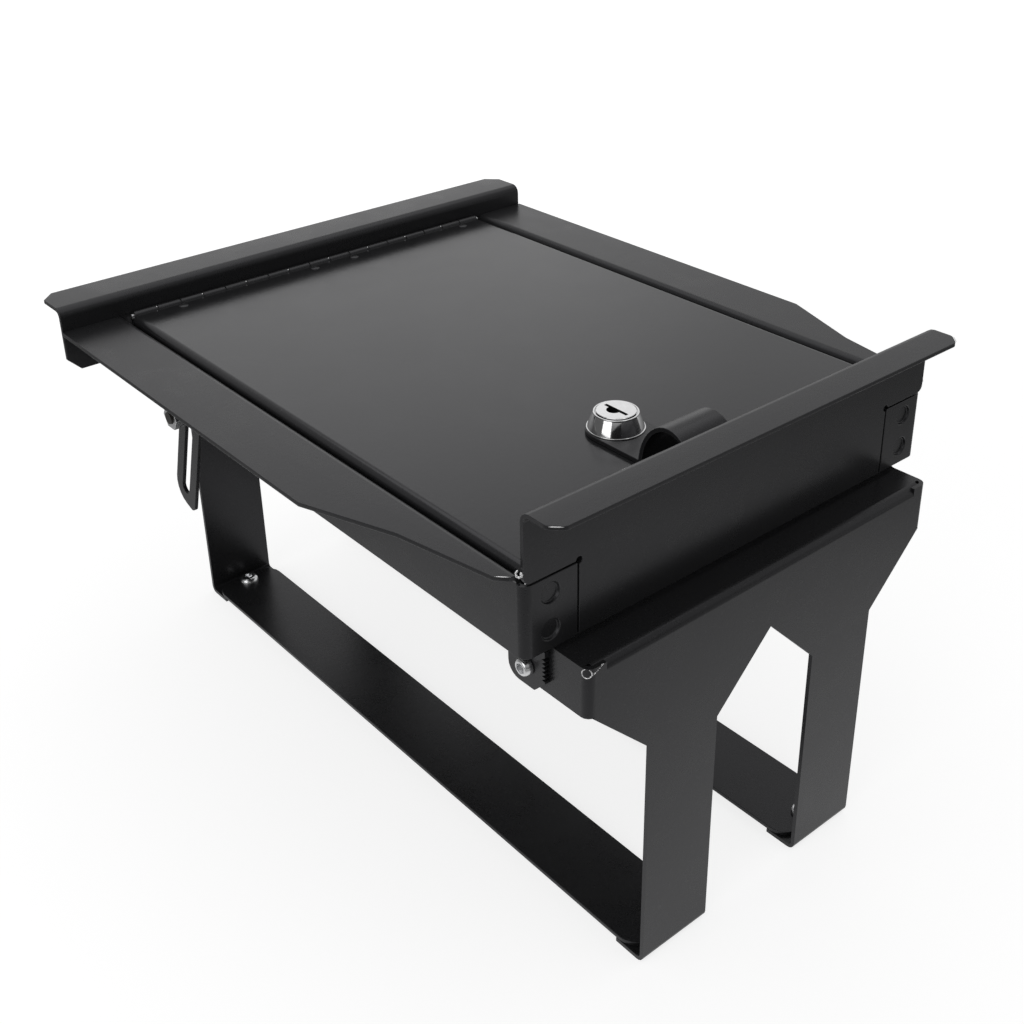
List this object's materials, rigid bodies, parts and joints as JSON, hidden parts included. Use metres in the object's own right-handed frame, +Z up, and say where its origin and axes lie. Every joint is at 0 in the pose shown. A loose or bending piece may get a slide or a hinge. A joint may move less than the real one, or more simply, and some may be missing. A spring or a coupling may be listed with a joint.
{
  "type": "console safe",
  "caption": "Folded-steel console safe: open-bottomed tray with a hinged locking lid, notched legs, floor straps, toothed clamps and slotted arms.",
  "frame": {"origin": "middle of the front rail's front face, level with the top of the tray's wings", "axes": "+X across to the user's right, +Y from the lock side to the hinge side, +Z up"},
  "size_m": [0.288, 0.3642, 0.2301],
  "materials": {
    "powder_coat": "satin fine-texture black powder coat",
    "lid_coat": "satin fine-texture black powder coat",
    "hinge_coat": "satin black powder coat, worn at the knuckle ends",
    "hinge_steel": "plain drawn wire",
    "lock_chrome": "bright chrome plate",
    "zinc_screw": "bright zinc plate",
    "zinc_plate": "zinc plate",
    "black_oxide": "black oxide"
  },
  "bodies": {
    "tray": {"tray_side_left": "powder_coat", "tray_side_right": "powder_coat", "front_rail": "powder_coat", "rear_rail": "powder_coat", "front_leg_bracket": "powder_coat", "rear_leg_bracket": "powder_coat", "floor_strap_left": "powder_coat", "floor_strap_right": "powder_coat", "strap_screw_front_left": "zinc_screw", "strap_screw_front_right": "zinc_screw", "strap_screw_rear_left": "zinc_screw", "strap_screw_rear_right": "zinc_screw", "latch_keeper": "powder_coat", "hinge_frame_leaf": "hinge_coat", "hinge_pin": "hinge_steel", "clamp_bolt_left": "zinc_screw", "clamp_bolt_right": "zinc_screw", "clamp_nut_left": "zinc_plate", "clamp_nut_right": "zinc_plate", "arm_ear_left": "powder_coat", "arm_ear_right": "powder_coat"},
    "lid": {"lid_pan": "lid_coat", "hinge_lid_leaf": "hinge_coat", "hinge_rivet_1": "hinge_coat", "hinge_rivet_2": "hinge_coat", "hinge_rivet_3": "hinge_coat", "hinge_rivet_4": "hinge_coat", "finger_pull": "powder_coat", "lock_body": "lock_chrome", "lock_nut": "zinc_plate"},
    "lock_cylinder": {"lock_plug": "lock_chrome", "lock_cam": "zinc_plate", "cam_screw": "zinc_plate"},
    "clamp_left": {"clamp_plate_left": "powder_coat"},
    "clamp_right": {"clamp_plate_right": "powder_coat"},
    "arm_pivot_left": {"arm_bolt_left": "black_oxide", "arm_sleeve_left": "zinc_plate", "arm_nut_left": "zinc_screw"},
    "arm_pivot_right": {"arm_bolt_right": "black_oxide", "arm_sleeve_right": "zinc_plate", "arm_nut_right": "zinc_screw"},
    "arm_left": {"slotted_arm_left": "powder_coat"},
    "arm_right": {"slotted_arm_right": "powder_coat"}
  },
  "joints": [
    {"name": "lid_hinge", "type": "hinge", "parent": "tray", "child": "lid", "pos_m": [0, 0.3055, -0.0009], "axis": [-1, 0, 0], "range_deg": [0, 95]},
    {"name": "lock_turn", "type": "hinge", "parent": "lid", "child": "lock_cylinder", "pos_m": [-0.016, 0.057, 0], "axis": [0, 0, -1], "range_deg": [0, 90]},
    {"name": "clamp_left_pivot", "type": "hinge", "parent": "tray", "child": "clamp_left", "pos_m": [-0.1009, 0.0129, -0.0492], "axis": [1, 0, 0], "range_deg": [-25, 25]},
    {"name": "clamp_right_pivot", "type": "hinge", "parent": "tray", "child": "clamp_right", "pos_m": [0.1009, 0.0129, -0.0492], "axis": [1, 0, 0], "range_deg": [-25, 25]},
    {"name": "arm_left_swing", "type": "hinge", "parent": "tray", "child": "arm_pivot_left", "pos_m": [-0.1087, 0.2525, -0.033], "axis": [1, 0, 0], "range_deg": [-45, 40]},
    {"name": "arm_right_swing", "type": "hinge", "parent": "tray", "child": "arm_pivot_right", "pos_m": [0.1087, 0.2525, -0.033], "axis": [1, 0, 0], "range_deg": [-45, 40]},
    {"name": "arm_left_slide", "type": "slide", "parent": "arm_pivot_left", "child": "arm_left", "axis": [0, -0.3193, 0.9476], "range_m": [0, 0.008]},
    {"name": "arm_right_slide", "type": "slide", "parent": "arm_pivot_right", "child": "arm_right", "axis": [0, -0.3193, 0.9476], "range_m": [0, 0.008]}
  ]
}
